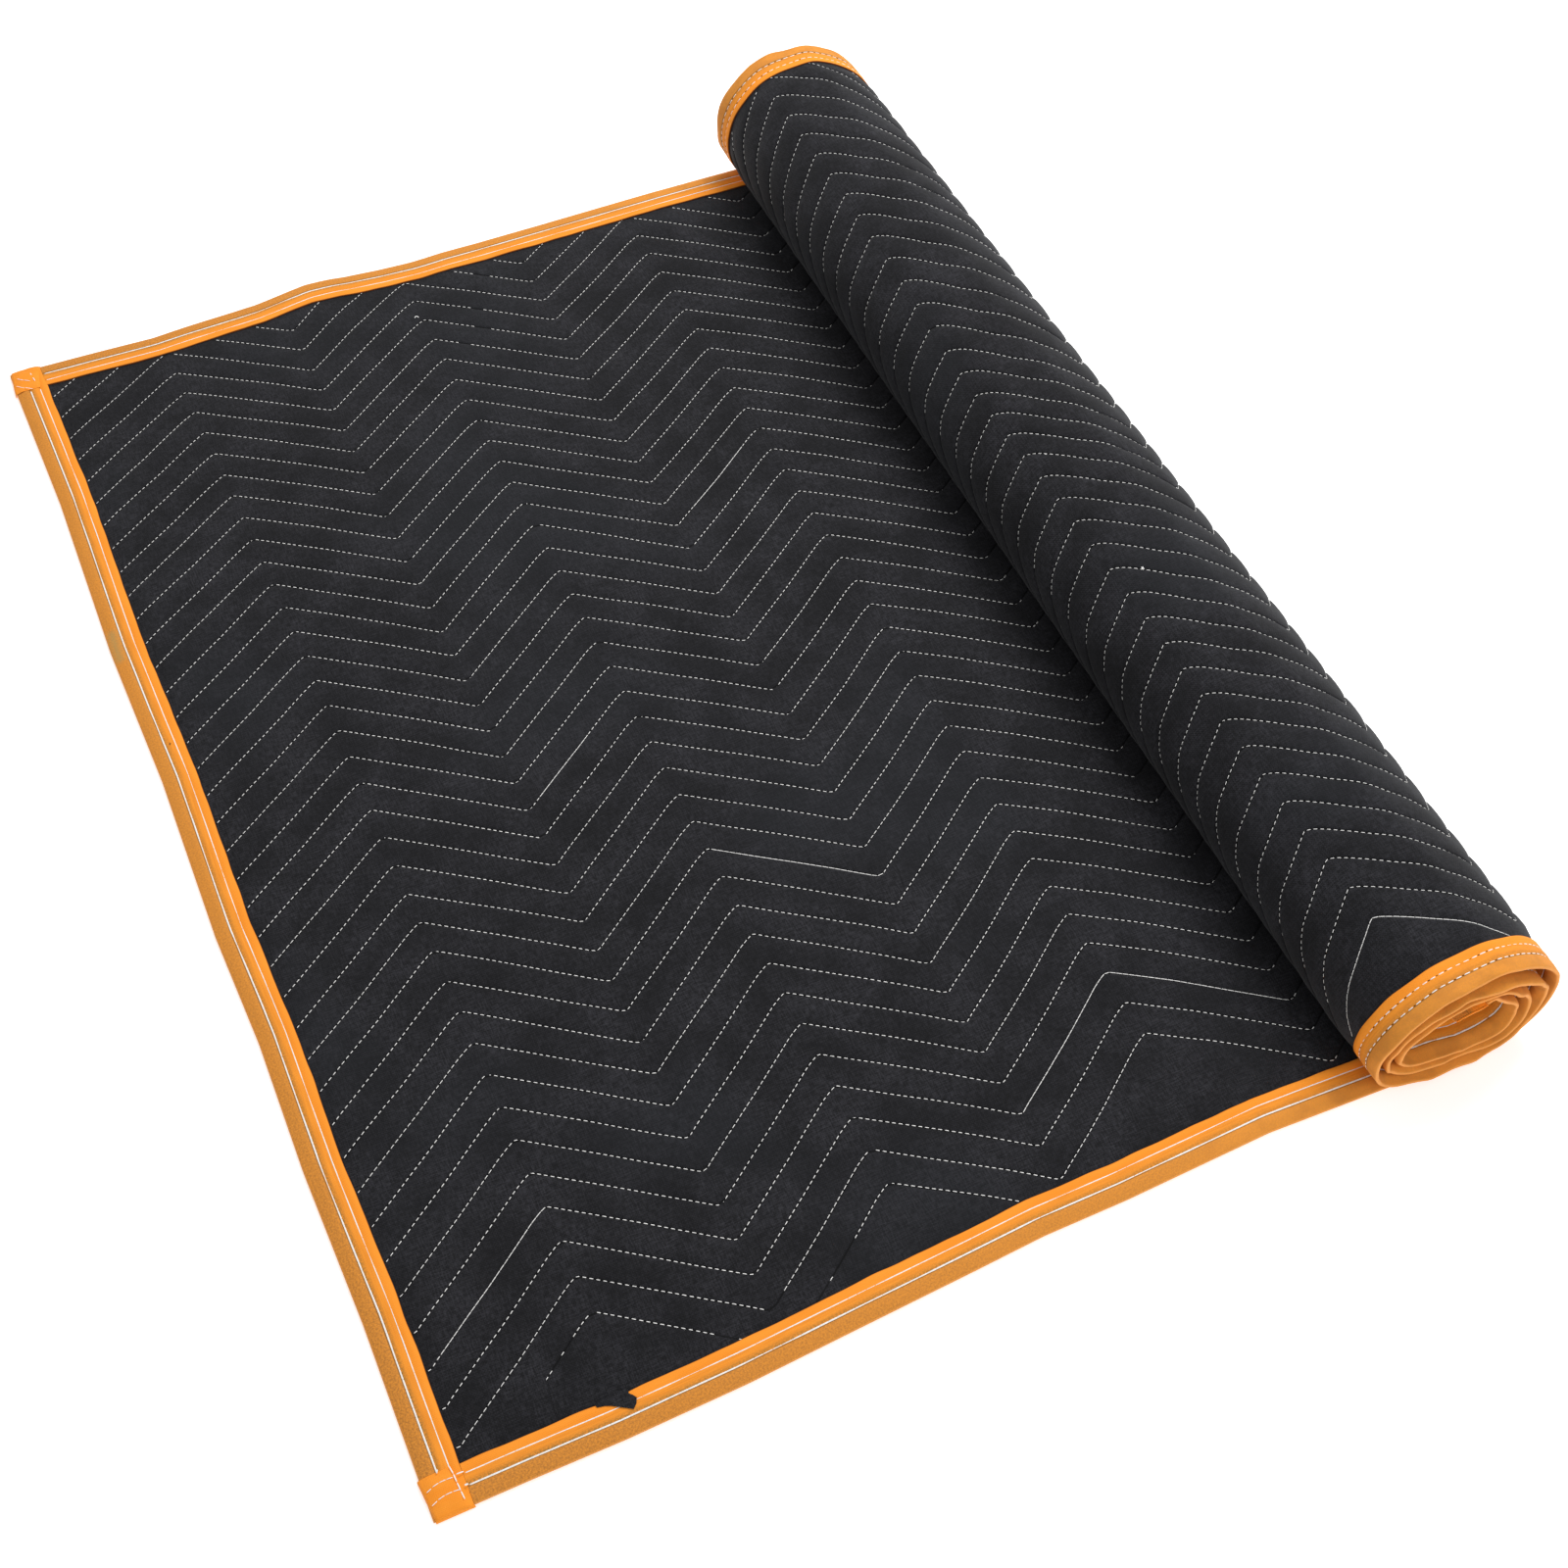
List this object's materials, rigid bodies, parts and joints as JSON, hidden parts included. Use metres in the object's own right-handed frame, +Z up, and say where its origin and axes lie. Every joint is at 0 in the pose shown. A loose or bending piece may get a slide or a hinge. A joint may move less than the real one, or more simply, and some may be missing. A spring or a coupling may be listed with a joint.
{
  "type": "moving pad",
  "caption": "Quilted moving pad with bound edges, laid out one end flat and the rest rolled up.",
  "frame": {"origin": "middle of the lowest face of the part's box, on the floor", "axes": "+X from the flat end towards the roll, +Y along the roll from its near end to its far end, +Z up"},
  "size_m": [0.7968, 1.0366, 0.109],
  "materials": {
    "black_cloth": "matte woven polyester",
    "orange_cloth": "matte woven tape",
    "bright_orange_cloth": "matte woven tape"
  },
  "bodies": {
    "root": {"pad": "black_cloth", "binding_near": "orange_cloth", "binding_far": "orange_cloth", "binding_left": "orange_cloth", "binding_inner": "orange_cloth", "tab_near_left": "bright_orange_cloth", "tab_far_left": "bright_orange_cloth", "tab_near_inner": "bright_orange_cloth", "tab_far_inner": "bright_orange_cloth"}
  },
  "joints": []
}
